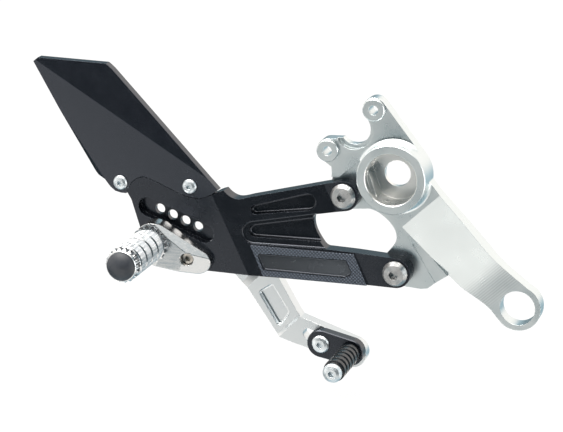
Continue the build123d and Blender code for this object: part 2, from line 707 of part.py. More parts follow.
# Peg bolt
head_0 = washer_0 + 1.6 + FACE_GAP
with BuildPart() as peg_bolt:
    add(turned([(0, H_BACK + 0.4), (PEG_BOLT_R - 0.8, H_BACK + 0.4), (PEG_BOLT_R, H_BACK + 1.2),
                (PEG_BOLT_R, head_0), (PEG_BOLT_R + 3.0, head_0), (PEG_BOLT_R + 3.0, head_0 + 9.2),
                (PEG_BOLT_R + 2.2, head_0 + 10.0), (0, head_0 + 10.0)], PEG))
    with BuildSketch(at(head_0 + 10.0)):
        with Locations(PEG):
            RegularPolygon(4.0, 6, major_radius=False)
    extrude(amount=-5.0, mode=Mode.SUBTRACT)
peg_bolt.part.label = "peg_bolt"
export_step(peg_bolt.part, "parts/peg_bolt.step")

# Peg end cap
cap_ball = (CAP_R * CAP_R + CAP_RISE * CAP_RISE) / (2 * CAP_RISE)
with BuildPart() as cap:
    with BuildSketch(lathe(PEG)):
        with BuildLine():
            Polyline((0, peg_1 + 0.8 + CAP_RISE), (0, peg_1 - 6.0), (PEG_BORE_R - 0.1, peg_1 - 6.0),
                     (PEG_BORE_R - 0.1, peg_1 + FACE_GAP), (CAP_R, peg_1 + FACE_GAP), (CAP_R, peg_1 + 0.8))
            RadiusArc((CAP_R, peg_1 + 0.8), (0, peg_1 + 0.8 + CAP_RISE), -cap_ball)
        make_face()
    revolve(axis=spin(PEG))
cap.part.label = "peg_end_cap"
export_step(cap.part, "parts/peg_end_cap.step")

# Brake lever
toe_r = 10.0
toe_c = (-27.8, -128.3)
toe_top = move(toe_c, 70.5, toe_r)
toe_far = move(toe_c, -10, toe_r)
toe_low = move(toe_c, -107, toe_r)
LEVER = [LEVER_TOP_A, LEVER_TOP_B, (-81.5, -81.2), (-67.9, -104.4), (-64.6, -105.9), toe_top]
LEVER_BACK = [toe_low, (-60.6, -127.6), (-69.0, -125.6), (-79.8, -122.4), (-83.0, -121.0), (-104.6, -89.8),
              (-110.0, -87.4), (-116.0, -81.0), (-133.0, -67.0), LEVER_TOP_A]
slot_0 = move(TOE_SCREW, SLOT_DEG, -SLOT_BACK)
slot_1 = move(TOE_SCREW, SLOT_DEG, SLOT_FORE)
slot_c = ((slot_0[0] + slot_1[0]) / 2, (slot_0[1] + slot_1[1]) / 2)
LEVER_ROUNDS = [(-93.8, -92.6, 2.4), (-87.4, -88.2, 2.6), (-76.4, -105.0, 2.4), (-81.4, -112.6, 2.4)]
lever_floor = LEVER_B - LEVER_POCKET
lever_front = [(-REACH, LEVER_A), (STEP_A0, LEVER_A), (STEP_A1, LEVER_B), (STEP_B0, LEVER_B),
               (STEP_B1, LEVER_C), (REACH, LEVER_C)]
lever_rear = [(t, h - LEVER_THICK) for t, h in reversed(lever_front)]
with BuildPart() as lever:
    with BuildSketch(at(-DEEP)) as lever_plan:
        with BuildLine():
            Polyline(*LEVER)
            ThreePointArc(toe_top, toe_far, toe_low)
            Polyline(*LEVER_BACK)
        make_face()
        with Locations(PIVOT):
            Circle(LEVER_HUB_R)
    extrude(amount=2 * DEEP)
    with BuildSketch(at(-DEEP)):
        with Locations(PIVOT):
            Circle(LEVER_HUB_R)
        with Locations(TAIL):
            Circle(TAIL_R)
        make_hull()
    extrude(amount=2 * DEEP)
    with BuildSketch(side(STEP_DEG)):
        with BuildLine():
            Polyline(*lever_front, *lever_rear, close=True)
        make_face()
    extrude(amount=REACH, both=True, mode=Mode.INTERSECT)
    with BuildSketch(at(LEVER_A - LEVER_THICK)):
        with Locations(PIVOT):
            Circle(LEVER_HUB_R)
    extrude(amount=LEVER_HUB_H - LEVER_A + LEVER_THICK)
    add(sunk(LEVER_ROUNDS, [(-REACH, lever_floor), (REACH, lever_floor)], POCKET_COVE), mode=Mode.SUBTRACT)
    with BuildSketch(at(LEVER_C)):
        with Locations(slot_c):
            SlotCenterToCenter(SLOT_BACK + SLOT_FORE, 2 * SLOT_HALF, rotation=SLOT_DEG)
    extrude(amount=-LEVER_THICK, mode=Mode.SUBTRACT)
    with BuildSketch(at(LEVER_HUB_H)):
        with Locations(PIVOT):
            Circle(BUSH_R)
        with Locations(TAIL):
            Circle(TAIL_HOLE_R)
    extrude(amount=-DEEP, mode=Mode.SUBTRACT)
lever.part.label = "brake_lever"
export_step(lever.part, "parts/brake_lever.step")

# Lever bush
hub_0 = LEVER_A - LEVER_THICK
with BuildPart() as bush:
    add(turned([(SHOULDER_R + RUN_GAP, hub_0), (BUSH_R - 0.02, hub_0), (BUSH_R - 0.02, LEVER_HUB_H),
                (SHOULDER_R + RUN_GAP, LEVER_HUB_H)], PIVOT))
bush.part.label = "lever_bush"
export_step(bush.part, "parts/lever_bush.step")

# Lever wave washer
with BuildPart() as wave:
    add(turned([(SHOULDER_R + 0.4, LEVER_HUB_H + FACE_GAP), (LEVER_HUB_R - 1.5, LEVER_HUB_H + FACE_GAP),
                (LEVER_HUB_R - 1.5, H_BACK - FACE_GAP), (SHOULDER_R + 0.4, H_BACK - FACE_GAP)], PIVOT))
wave.part.label = "lever_wave_washer"
export_step(wave.part, "parts/lever_wave_washer.step")

# Lever thrust washer
with BuildPart() as thrust:
    thrust_1 = hub_0 - FACE_GAP
    thrust_0 = thrust_1 - THRUST_THICK
    add(turned([(SHOULDER_R + 0.2, thrust_1), (LEVER_HUB_R - 1.0, thrust_1), (LEVER_HUB_R - 1.0, thrust_0),
                (SHOULDER_R + 0.2, thrust_0)], PIVOT))
thrust.part.label = "lever_thrust_washer"
export_step(thrust.part, "parts/lever_thrust_washer.step")

# Lever pivot bolt
pivot_0 = hub_0 - 2 * FACE_GAP - THRUST_THICK
with BuildPart() as pivot:
    add(turned([(0, pivot_0 - 5.0), (9.0 - 0.6, pivot_0 - 5.0), (9.0, pivot_0 - 4.4), (9.0, pivot_0),
                (SHOULDER_R, pivot_0), (SHOULDER_R, H_BACK - FACE_GAP), (PIVOT_THREAD_R, H_BACK - FACE_GAP),
                (PIVOT_THREAD_R, H_BACK + PIVOT_DEPTH - 0.5), (0, H_BACK + PIVOT_DEPTH - 0.5)], PIVOT))
    with BuildSketch(at(pivot_0 - 5.0)):
        with Locations(PIVOT):
            RegularPolygon(3.0, 6, major_radius=False)
    extrude(amount=3.4, mode=Mode.SUBTRACT)
pivot.part.label = "lever_pivot_bolt"
export_step(pivot.part, "parts/lever_pivot_bolt.step")

# Lever stop pin
with BuildPart() as stop:
    shank_1 = H_BACK + STOP_DEPTH - 0.4
    add(turned([(0, hub_0 + 1.0), (STOP_PIN_R - 0.5, hub_0 + 1.0), (STOP_PIN_R, hub_0 + 1.5),
                (STOP_PIN_R, STOP_SEAT), (STOP_SHANK_R, STOP_SEAT), (STOP_SHANK_R, shank_1), (0, shank_1)],
               STOP_PIN))
stop.part.label = "lever_stop_pin"
export_step(stop.part, "parts/lever_stop_pin.step")

# Toe carrier
toe_0 = LEVER_C + FACE_GAP
toe_1 = LEVER_C + TOE_BLOCK
with BuildPart() as toe:
    with BuildSketch(at(toe_0)):
        with Locations(TOE_SCREW):
            Circle(TOE_R)
        with Locations(TOE_PEG):
            Circle(TOE_END_R)
        make_hull()
    extrude(amount=TOE_BLOCK - FACE_GAP)
    chamfer(toe.faces().sort_by(Axis.Y)[0].edges(), 0.6)
    with BuildSketch(at(toe_1)):
        with Locations(TOE_SCREW, TOE_PEG):
            Circle(TOE_BOLT_R + BOLT_GAP)
    extrude(amount=-TOE_BLOCK, mode=Mode.SUBTRACT)
toe.part.label = "toe_carrier"
export_step(toe.part, "parts/toe_carrier.step")

# Toe slot nut
nut_1 = LEVER_C - LEVER_THICK - FACE_GAP
with BuildPart() as nut:
    with BuildSketch(at(nut_1)):
        with Locations(TOE_SCREW):
            Rectangle(13, 13, rotation=SLOT_DEG)
    extrude(amount=-4.0)
    with BuildSketch(at(nut_1)):
        with Locations(TOE_SCREW):
            Circle(SLOT_HALF - STOP_GAP)
    extrude(amount=3.0)
    with BuildSketch(at(nut_1 + 3.0)):
        with Locations(TOE_SCREW):
            Circle(TOE_BOLT_R + BOLT_GAP)
    extrude(amount=-7.0, mode=Mode.SUBTRACT)
nut.part.label = "toe_slot_nut"
export_step(nut.part, "parts/toe_slot_nut.step")

# Toe carrier screw
with BuildPart() as toe_screw:
    add(button(TOE_SCREW, TOE_HEAD_R, TOE_BOLT_R, nut_1 - 3.8, toe_1 + FACE_GAP, TOE_HEAD_H))
    with BuildSketch(at(toe_1 + FACE_GAP + TOE_HEAD_H)):
        with Locations(TOE_SCREW):
            RegularPolygon(2.0, 6, major_radius=False)
    extrude(amount=-2.2, mode=Mode.SUBTRACT)
toe_screw.part.label = "toe_carrier_screw"
export_step(toe_screw.part, "parts/toe_carrier_screw.step")

# Toe peg sleeve
sleeve_0 = toe_1 + FACE_GAP
sleeve_1 = toe_1 + TOE_SLEEVE_LEN
ridge = (TOE_SLEEVE_LEN - 3.0) / TOE_RIDGES
sleeve_profile = [(TOE_BOLT_R + BOLT_GAP, sleeve_0), (TOE_SLEEVE_R - 1.3, sleeve_0)]
for i in range(TOE_RIDGES):
    start = toe_1 + 1.5 + i * ridge
    sleeve_profile += [(TOE_SLEEVE_R - 1.3, start), (TOE_SLEEVE_R, start + 0.7),
                       (TOE_SLEEVE_R, start + ridge - 2.2), (TOE_SLEEVE_R - 1.3, start + ridge - 1.5)]
sleeve_profile += [(TOE_SLEEVE_R - 1.3, sleeve_1), (TOE_BOLT_R + BOLT_GAP, sleeve_1)]
with BuildPart() as sleeve:
    add(turned(sleeve_profile, TOE_PEG))
sleeve.part.label = "toe_peg_sleeve"
export_step(sleeve.part, "parts/toe_peg_sleeve.step")

# Toe peg screw
with BuildPart() as toe_bolt:
    add(button(TOE_PEG, TOE_END_HEAD_R, TOE_BOLT_R, toe_0 + 0.4, sleeve_1 + FACE_GAP, TOE_END_HEAD_H))
    with BuildSketch(at(sleeve_1 + FACE_GAP + TOE_END_HEAD_H)):
        with Locations(TOE_PEG):
            RegularPolygon(2.0, 6, major_radius=False)
    extrude(amount=-2.6, mode=Mode.SUBTRACT)
toe_bolt.part.label = "toe_peg_screw"
export_step(toe_bolt.part, "parts/toe_peg_screw.step")
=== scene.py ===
import math

import bpy
import numpy as np
from mathutils import Matrix, Vector


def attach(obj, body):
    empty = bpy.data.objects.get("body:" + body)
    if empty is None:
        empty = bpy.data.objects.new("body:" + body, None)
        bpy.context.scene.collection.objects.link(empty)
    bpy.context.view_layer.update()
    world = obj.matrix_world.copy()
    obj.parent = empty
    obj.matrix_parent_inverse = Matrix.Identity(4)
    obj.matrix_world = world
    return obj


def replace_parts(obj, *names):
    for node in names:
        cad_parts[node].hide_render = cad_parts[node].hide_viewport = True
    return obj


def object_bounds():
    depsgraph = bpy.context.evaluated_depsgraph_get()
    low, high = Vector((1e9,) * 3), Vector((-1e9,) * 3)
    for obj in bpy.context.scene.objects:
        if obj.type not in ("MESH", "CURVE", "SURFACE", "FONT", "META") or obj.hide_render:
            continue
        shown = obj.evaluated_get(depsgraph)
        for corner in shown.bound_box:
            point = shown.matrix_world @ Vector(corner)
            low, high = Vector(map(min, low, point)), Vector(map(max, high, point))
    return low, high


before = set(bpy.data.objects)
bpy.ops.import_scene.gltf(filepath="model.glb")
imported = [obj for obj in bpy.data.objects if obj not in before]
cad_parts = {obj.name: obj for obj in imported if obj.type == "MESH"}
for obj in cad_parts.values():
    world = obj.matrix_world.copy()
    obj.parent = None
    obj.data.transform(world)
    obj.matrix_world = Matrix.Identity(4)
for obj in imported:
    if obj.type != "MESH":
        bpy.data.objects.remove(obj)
cad_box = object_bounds()
MM = 0.001

# Places and heights taken from the part, in millimetres: X forward, Z up, height outward along minus Y
BRACKET_BOLTS = ((-34.2, -15.9), (2.6, -66.6))
PEG = (-165.0, -55.5)
HOLDER_BOLT = (-140.84, -66.14)
LEVER_PIVOT = (-125.0, -58.0)
ARM_DEG = -46.4
H_PLATE, H_PAD = 23.0, 16.0
H_PEG, PEG_LEN = 36.0, 56.0
# The bracket's arms fall from the plate to the pad between two lines square to this direction
BEND_DEG = 25.5
BEND_T0, BEND_T1 = -122.8, -47.0
FALL_X, FALL_Z = math.cos(math.radians(BEND_DEG)), math.sin(math.radians(BEND_DEG))
FALL = (H_PLATE - H_PAD) / (BEND_T1 - BEND_T0)
# Knurled panel on the lower arm: three corners, its length and height, and the outline of its recess
PANEL_TOP_REAR, PANEL_LOW_REAR, PANEL_TOP_FRONT = (-98.9, -54.9), (-89.5, -76.5), (-26.5, -55.9)
PANEL_LONG, PANEL_SHORT = 72.0, 21.0
RECESS = [(-31.6, -60.6), (-92.0, -60.5), (-93.2, -62.8), (-89.4, -71.4), (-87.6, -71.9), (-33.0, -73.0),
          (-29.0, -71.2), (-27.8, -69.0)]
# Box round the recess's floor in plan, and how far the floor lies below the arm's face
RECESS_MIDDLE, RECESS_HALF = (-60.5, -66.75), (33.5, 6.75)
RECESS_DEPTH = 1.2
# The photograph: its size, its focal length and the pivot's place in it, all in pixels
PHOTO_WIDTH, PHOTO_HEIGHT = 563, 432
FOCAL_LENGTH = 2200
PIVOT_ACROSS, PIVOT_DOWN = 399.33, 171.792
CAMERA_ROUND_DEG, CAMERA_ABOVE_DEG = 18.5, 17.0
# From the camera to the pivot along its view, and from the part down to the floor, in metres
CAMERA_DISTANCE = 1.4765
FLOOR_GAP = 0.03
# Cool sheen of dyed oxide
DYE_SHEEN = "#E8F0FF"
# Blender's wave texture draws one band in this much of its scaled length
WAVE_BAND = math.pi / 10


def linear(code):
    """Linear colour of an sRGB hex value."""
    parts = [int(code[i:i + 2], 16) / 255 for i in (1, 3, 5)]
    return [c / 12.92 if c <= 0.04045 else ((c + 0.055) / 1.055) ** 2.4 for c in parts] + [1.0]


def wire(tree, node, inputs):
    """Feeds a node's inputs: each is a value, an output, or a node, which gives its first output in use."""
    for key, value in inputs.items():
        if isinstance(value, bpy.types.Node):
            value = next(socket for socket in value.outputs if socket.enabled)
        if isinstance(value, bpy.types.NodeSocket):
            tree.links.new(value, node.inputs[key])
        else:
            node.inputs[key].default_value = value


def add(tree, kind, inputs=None, **settings):
    """Adds one node with its settings and inputs. By number, a Mix node has its factor at 0, vectors at 4
    and 5 and colours at 6 and 7. A Map Range node has its two ends at 1 and 2, and what they become at 3
    and 4."""
    made = tree.nodes.new("ShaderNode" + kind)
    for key, value in settings.items():
        setattr(made, key, value)
    wire(tree, made, inputs or {})
    return made


def material(name):
    """New material with one Principled shader on its output, and its Object coordinates."""
    made = bpy.data.materials.new(name)
    made.use_nodes = True
    tree = made.node_tree
    tree.nodes.clear()
    shader = add(tree, "BsdfPrincipled")
    add(tree, "OutputMaterial", {"Surface": shader})
    return made, tree, shader, add(tree, "TexCoord").outputs["Object"]


def cutter_passes(tree, place):
    """Height of the cutter's passes across the arm's front, where it sweeps down to the eye. They are drawn
    1.6 mm apart, coarser than real ones, so that they show."""
    pitch = 1.6 * MM
    start, full, fading, end = 82 * MM, 96 * MM, 104 * MM, 112 * MM
    rear, front = 30 * MM, 40 * MM
    arm = add(tree, "Mapping", {"Vector": place, "Rotation": (0, math.radians(ARM_DEG), 0)})
    along = add(tree, "SeparateXYZ", {0: arm}).outputs[0]
    rise = add(tree, "MapRange", {"Value": along, 1: start, 2: full}, interpolation_type="SMOOTHSTEP")
    fade = add(tree, "MapRange", {"Value": along, 1: end, 2: fading}, interpolation_type="SMOOTHSTEP")
    ahead = add(tree, "SeparateXYZ", {0: place}).outputs[0]
    fore = add(tree, "MapRange", {"Value": ahead, 1: rear, 2: front})
    sweep = add(tree, "Math", {0: rise, 1: fade}, operation="MULTIPLY")
    blend = add(tree, "Math", {0: sweep, 1: fore}, operation="MULTIPLY")
    facing = add(tree, "SeparateXYZ", {0: add(tree, "NewGeometry").outputs["True Normal"]}).outputs[1]
    outward = add(tree, "MapRange", {"Value": facing, 1: -0.4, 2: -0.6, 4: 1.2})
    deep = add(tree, "Math", {0: blend, 1: outward}, operation="MULTIPLY")
    lines = add(tree, "TexWave", {"Vector": arm, "Scale": WAVE_BAND / pitch, "Distortion": 0.4,
                                  "Detail": 1.0, "Detail Scale": 0.6})
    return add(tree, "Math", {0: lines.outputs["Fac"], 1: deep}, operation="MULTIPLY")


def milled_aluminium(name, dark, pale):
    """Clear-anodised aluminium cut from the billet: satin grey, with faint cutter lines down the arm, rings
    where the cup was bored, drawn coarse enough to show, and the inside of the cup painted paler as painted
    light."""
    cloud_size, grain_size, edge_size = 22 * MM, 0.7 * MM, 0.4 * MM
    ring_pitch, ring_height = 0.9 * MM, 0.22
    ringed_r, ring_end_r = 24.0 * MM, 24.6 * MM
    cup_r, cup_end_r = 17.9 * MM, 18.4 * MM
    made, tree, shader, place = material(name)
    cloud = add(tree, "TexNoise", {"Vector": place, "Scale": 1 / cloud_size, "Detail": 3.0,
                                   "Roughness": 0.55})
    tone = add(tree, "Mix", {0: cloud, 6: linear(dark), 7: linear(pale)}, data_type="RGBA")
    grain = add(tree, "TexNoise", {"Vector": place, "Scale": 1 / grain_size, "Detail": 2.0})
    rough = add(tree, "MapRange", {"Value": cloud, 1: 0.3, 2: 0.7, 3: 0.25, 4: 0.35})
    swept = cutter_passes(tree, place)
    # Rings about the pivot's axis follow radius plus height, so they run over rim, wall and floor
    flat = add(tree, "VectorMath", {0: place, 1: (1, 0, 1)}, operation="MULTIPLY")
    radius = add(tree, "VectorMath", {0: flat}, operation="LENGTH")
    inward = add(tree, "SeparateXYZ", {0: place}).outputs[1]
    reach = add(tree, "Math", {0: radius, 1: inward}, operation="SUBTRACT")
    phase = add(tree, "Math", {0: reach, 1: 2 * math.pi / ring_pitch}, operation="MULTIPLY")
    rings = add(tree, "Math", {0: phase}, operation="SINE")
    ringed = add(tree, "MapRange", {"Value": radius, 1: ring_end_r, 2: ringed_r, 4: ring_height})
    bored = add(tree, "Math", {0: rings, 1: ringed}, operation="MULTIPLY")
    # Painted light: within the cup's radius the tone is painted paler, which brightens the inside of the cup
    cup = add(tree, "MapRange", {"Value": radius, 1: cup_end_r, 2: cup_r})
    cup_painted_light = add(tree, "Mix", {0: cup, 6: tone, 7: linear("#EDEEEC")}, data_type="RGBA")
    faint = add(tree, "Math", {0: swept, 1: 0.45}, operation="MULTIPLY")
    lined = add(tree, "Mix", {0: faint, 6: cup_painted_light, 7: linear("#B7BDC0")}, data_type="RGBA")
    marks = add(tree, "Math", {0: swept, 1: bored}, operation="ADD")
    fine = add(tree, "Math", {0: grain, 1: 0.35, 2: marks}, operation="MULTIPLY_ADD")
    edge = add(tree, "Bevel", {"Radius": edge_size}, samples=4)
    bump = add(tree, "Bump", {"Strength": 0.35, "Distance": 0.06 * MM, "Height": fine, "Normal": edge})
    wire(tree, shader, {"Base Color": lined, "Metallic": 1.0, "Roughness": rough, "Normal": bump})
    return made


def recess_floor(tree, place, tone):
    """Tone of the bracket with the floor of the panel's recess greyer, and paler toward the front. The floor
    is what lies in a box in plan and in the arm's sloping face sunk by the recess's depth."""
    middle = (RECESS_MIDDLE[0] * MM, 0, RECESS_MIDDLE[1] * MM)
    half = (RECESS_HALF[0] * MM, 1, RECESS_HALF[1] * MM)
    slope = (-FALL * FALL_X, 1, -FALL * FALL_Z)
    level = (RECESS_DEPTH - H_PLATE - FALL * BEND_T0) * MM
    slack = 0.2 * MM
    off = add(tree, "VectorMath", {0: place, 1: middle}, operation="SUBTRACT")
    share = add(tree, "VectorMath", {0: off, 1: half}, operation="DIVIDE")
    size = add(tree, "VectorMath", {0: share}, operation="ABSOLUTE")
    reach = add(tree, "SeparateXYZ", {0: size}).outputs
    most = add(tree, "Math", {0: reach[0], 1: reach[2]}, operation="MAXIMUM")
    near = add(tree, "Math", {0: most, 1: 1.0}, operation="LESS_THAN")
    deep = add(tree, "VectorMath", {0: place, 1: slope}, operation="DOT_PRODUCT")
    sunk = add(tree, "Math", {0: deep, 1: level, 2: slack}, operation="COMPARE")
    floor = add(tree, "Math", {0: near, 1: sunk}, operation="MULTIPLY")
    ahead = add(tree, "SeparateXYZ", {0: share}).outputs[0]
    fore = add(tree, "MapRange", {"Value": ahead, 1: -0.7, 2: 0.7})
    grey = add(tree, "Mix", {0: fore, 6: linear("#2B2E31"), 7: linear("#3A3E42")}, data_type="RGBA")
    return add(tree, "Mix", {0: floor, 6: tone, 7: grey}, data_type="RGBA")


def black_anodised(name, dark, pale, low, high, ior, recess=False):
    """Aluminium dyed black in the anodising bath: satin, blue-black, the dye thin and paler on the edges,
    which also paints a highlight along every edge, hollow ones too. With recess it also has the grey floor
    of the panel's recess."""
    cloud_size, grit_size, edge_size = 9 * MM, 0.5 * MM, 0.22 * MM
    made, tree, shader, place = material(name)
    cloud = add(tree, "TexNoise", {"Vector": place, "Scale": 1 / cloud_size, "Detail": 4.0,
                                   "Roughness": 0.6})
    tone = add(tree, "Mix", {0: cloud, 6: linear(dark), 7: linear(pale)}, data_type="RGBA")
    if recess:
        tone = recess_floor(tree, place, tone)
    grit = add(tree, "TexNoise", {"Vector": place, "Scale": 1 / grit_size, "Detail": 2.0})
    rough = add(tree, "MapRange", {"Value": cloud, 1: 0.25, 2: 0.75, 3: low, 4: high})
    edge = add(tree, "Bevel", {"Radius": edge_size}, samples=6)
    face = add(tree, "NewGeometry").outputs["True Normal"]
    turn = add(tree, "VectorMath", {0: edge, 1: face}, operation="DOT_PRODUCT")
    # Edge wear and painted highlight: where the bevelled normal turns from the true one, on convex and hollow
    # edges alike, the tone goes paler
    edge_wear_and_highlight = add(tree, "MapRange", {"Value": turn, 1: 0.98, 2: 0.8})
    shown = add(tree, "Mix", {0: edge_wear_and_highlight, 6: tone, 7: linear("#3C434B")}, data_type="RGBA")
    bump = add(tree, "Bump", {"Strength": 0.2, "Distance": 0.04 * MM, "Height": grit, "Normal": edge})
    wire(tree, shader, {"Base Color": shown, "Metallic": 0.0, "Roughness": rough, "Normal": bump})
    wire(tree, shader, {"IOR": ior, "Specular Tint": linear(DYE_SHEEN)})
    return made


def knurled_black():
    """Black anodised diamonds: the points paler where the dye is worn thin, the valleys painted darker as
    shade.
    """
    spot_size = 1.2 * MM
    made, tree, shader, place = material("knurled_black_anodised_aluminium")
    depth = add(tree, "Attribute", attribute_name="valley").outputs["Fac"]
    spots = add(tree, "TexNoise", {"Vector": place, "Scale": 1 / spot_size, "Detail": 2.0})
    # Painted shade: the tone darkens with depth into the valleys; the paler points stand for worn dye
    tone = add(tree, "Mix", {0: depth, 6: linear("#4F5864"), 7: linear("#040507")}, data_type="RGBA")
    rough = add(tree, "MapRange", {"Value": spots, 1: 0.3, 2: 0.7, 3: 0.3, 4: 0.42})
    wire(tree, shader, {"Base Color": tone, "Roughness": rough})
    wire(tree, shader, {"IOR": 1.6, "Specular Tint": linear(DYE_SHEEN)})
    return made


def polished_aluminium():
    """Aluminium buffed on a wheel: bright, with faint wandering buffing lines."""
    line_width, line_deg, stretch, edge_size = 1.2 * MM, 24, 0.12, 0.8 * MM
    made, tree, shader, place = material("buffed_aluminium")
    drawn = add(tree, "Mapping", {"Vector": place, "Rotation": (0, math.radians(line_deg), 0),
                                  "Scale": (stretch, 1, 1)})
    lines = add(tree, "TexNoise", {"Vector": drawn, "Scale": 1 / line_width, "Detail": 3.0})
    tone = add(tree, "Mix", {0: lines, 6: linear("#D0D3D5"), 7: linear("#DDDFE0")}, data_type="RGBA")
    rough = add(tree, "MapRange", {"Value": lines, 1: 0.3, 2: 0.7, 3: 0.19, 4: 0.28})
    edge = add(tree, "Bevel", {"Radius": edge_size}, samples=6)
    bump = add(tree, "Bump", {"Strength": 0.12, "Distance": 0.05 * MM, "Height": lines, "Normal": edge})
    wire(tree, shader, {"Base Color": tone, "Metallic": 1.0, "Roughness": rough, "Normal": bump})
    return made


def knurled_aluminium():
    """Aluminium rolled under knurling wheels: bright crests, and duller valleys painted darker as shade."""
    spot_size = 1.5 * MM
    made, tree, shader, place = material("knurled_bright_aluminium")
    depth = add(tree, "Attribute", attribute_name="valley").outputs["Fac"]
    spots = add(tree, "TexNoise", {"Vector": place, "Scale": 1 / spot_size, "Detail": 2.0})
    # Painted shade: the tone darkens with depth into the valleys and between the teeth
    tone = add(tree, "Mix", {0: depth, 6: linear("#D8DBDD"), 7: linear("#959A9F")}, data_type="RGBA")
    rough = add(tree, "MapRange", {"Value": depth, 3: 0.2, 4: 0.42})
    bump = add(tree, "Bump", {"Strength": 0.15, "Distance": 0.04 * MM, "Height": spots})
    wire(tree, shader, {"Base Color": tone, "Metallic": 1.0, "Roughness": rough, "Normal": bump})
    return made


def turned_steel(name, axes, dark, pale, pitch_mm):
    """Steel faced on a lathe: fine rings about each axis stretch the light into a bow tie across the head.
    The rings are drawn coarser than a lathe's feed, so that they show."""
    cloud_size, edge_size = 2 * MM, 0.3 * MM
    made, tree, shader, place = material(name)
    spoke = near = None
    for x, z in axes:
        off = add(tree, "VectorMath", {0: place, 1: (x * MM, 0, z * MM)}, operation="SUBTRACT")
        flat = add(tree, "VectorMath", {0: off, 1: (1, 0, 1)}, operation="MULTIPLY")
        far = add(tree, "VectorMath", {0: flat}, operation="LENGTH")
        if near is None:
            spoke, near = flat, far
            continue
        closer = add(tree, "Math", {0: far, 1: near}, operation="LESS_THAN")
        spoke = add(tree, "Mix", {0: closer, 4: spoke, 5: flat}, data_type="VECTOR")
        near = add(tree, "Math", {0: near, 1: far}, operation="MINIMUM")
    phase = add(tree, "Math", {0: near, 1: 2 * math.pi / (pitch_mm * MM)}, operation="MULTIPLY")
    rings = add(tree, "Math", {0: phase}, operation="SINE")
    cloud = add(tree, "TexNoise", {"Vector": place, "Scale": 1 / cloud_size, "Detail": 3.0})
    tone = add(tree, "Mix", {0: cloud, 6: linear(dark), 7: linear(pale)}, data_type="RGBA")
    rough = add(tree, "MapRange", {"Value": rings, 1: -1.0, 2: 1.0, 3: 0.24, 4: 0.40})
    edge = add(tree, "Bevel", {"Radius": edge_size}, samples=4)
    bump = add(tree, "Bump", {"Strength": 0.3, "Distance": 0.04 * MM, "Height": rings, "Normal": edge})
    wire(tree, shader, {"Base Color": tone, "Metallic": 1.0, "Roughness": rough, "Normal": bump})
    wire(tree, shader, {"Anisotropic": 0.85, "Tangent": spoke})
    return made


def zinc_plated():
    """Steel with bright zinc: pale blue-white, slightly cloudy, with small crystals in the plating."""
    crystal_size, cloud_size, edge_size = 0.9 * MM, 3 * MM, 0.3 * MM
    made, tree, shader, place = material("bright_zinc_plated_steel")
    crystals = add(tree, "TexVoronoi", {"Vector": place, "Scale": 1 / crystal_size})
    cloud = add(tree, "TexNoise", {"Vector": place, "Scale": 1 / cloud_size, "Detail": 3.0})
    tone = add(tree, "Mix", {0: cloud, 6: linear("#D6DFE5"), 7: linear("#EFF4F6")}, data_type="RGBA")
    rough = add(tree, "MapRange", {"Value": crystals, 2: 0.6, 3: 0.3, 4: 0.42})
    edge = add(tree, "Bevel", {"Radius": edge_size}, samples=4)
    bump = add(tree, "Bump", {"Strength": 0.15, "Distance": 0.04 * MM, "Height": crystals, "Normal": edge})
    wire(tree, shader, {"Base Color": tone, "Metallic": 1.0, "Roughness": rough, "Normal": bump})
    return made


def moulded_black(name, dark, pale, low, high, grain_mm):
    """Black moulded plastic or rubber: spark-eroded mould grain, a soft broad gloss."""
    cloud_size, edge_size = 6 * MM, 0.4 * MM
    made, tree, shader, place = material(name)
    grain = add(tree, "TexNoise", {"Vector": place, "Scale": 1 / (grain_mm * MM), "Detail": 2.0})
    cloud = add(tree, "TexNoise", {"Vector": place, "Scale": 1 / cloud_size, "Detail": 3.0})
    tone = add(tree, "Mix", {0: cloud, 6: linear(dark), 7: linear(pale)}, data_type="RGBA")
    rough = add(tree, "MapRange", {"Value": cloud, 1: 0.3, 2: 0.7, 3: low, 4: high})
    edge = add(tree, "Bevel", {"Radius": edge_size}, samples=4)
    bump = add(tree, "Bump", {"Strength": 0.2, "Distance": 0.05 * MM, "Height": grain, "Normal": edge})
    wire(tree, shader, {"Base Color": tone, "Roughness": rough, "Normal": bump})
    return made


def sintered_bronze():
    """Bronze powder pressed and sintered: warm, dull, with small open pores."""
    pore_size = 0.6 * MM
    made, tree, shader, place = material("sintered_bronze")
    pores = add(tree, "TexVoronoi", {"Vector": place, "Scale": 1 / pore_size})
    tone = add(tree, "Mix", {0: pores, 6: linear("#7A5A36"), 7: linear("#B38A55")}, data_type="RGBA")
    bump = add(tree, "Bump", {"Strength": 0.3, "Distance": 0.05 * MM, "Height": pores})
    wire(tree, shader, {"Base Color": tone, "Metallic": 1.0, "Roughness": 0.42, "Normal": bump})
    return made


def surface(name, points, quads, valley, body, finish):
    """Mesh of a computed surface: points in millimetres as X, height outward and Z, each with its depth in a
    valley from 0 to 1."""
    mesh = bpy.data.meshes.new(name)
    place = np.column_stack([points[:, 0], -points[:, 1], points[:, 2]]) * MM
    mesh.from_pydata(place, [], quads)
    mesh.materials.append(finish)
    mesh.update()
    depth = mesh.attributes.new("valley", "FLOAT", "POINT")
    depth.data.foreach_set("value", np.clip(valley, 0, 1).astype(np.float32))
    piece = bpy.data.objects.new(name, mesh)
    bpy.context.scene.collection.objects.link(piece)
    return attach(piece, body)


def grid_quads(rows, columns, wrap=False):
    """Corner numbers of a grid's quads, row by row; wrap joins the last column to the first."""
    r, c = np.meshgrid(np.arange(rows - 1), np.arange(columns if wrap else columns - 1), indexing="ij")
    n = (c + 1) % columns
    corners = [r * columns + c, r * columns + n, (r + 1) * columns + n, (r + 1) * columns + c]
    return np.stack(corners, -1).reshape(-1, 4)


def zigzag(x):
    """Triangle wave from 0 to 1 with period 1."""
    return 1 - np.abs(2 * (x - np.floor(x)) - 1)


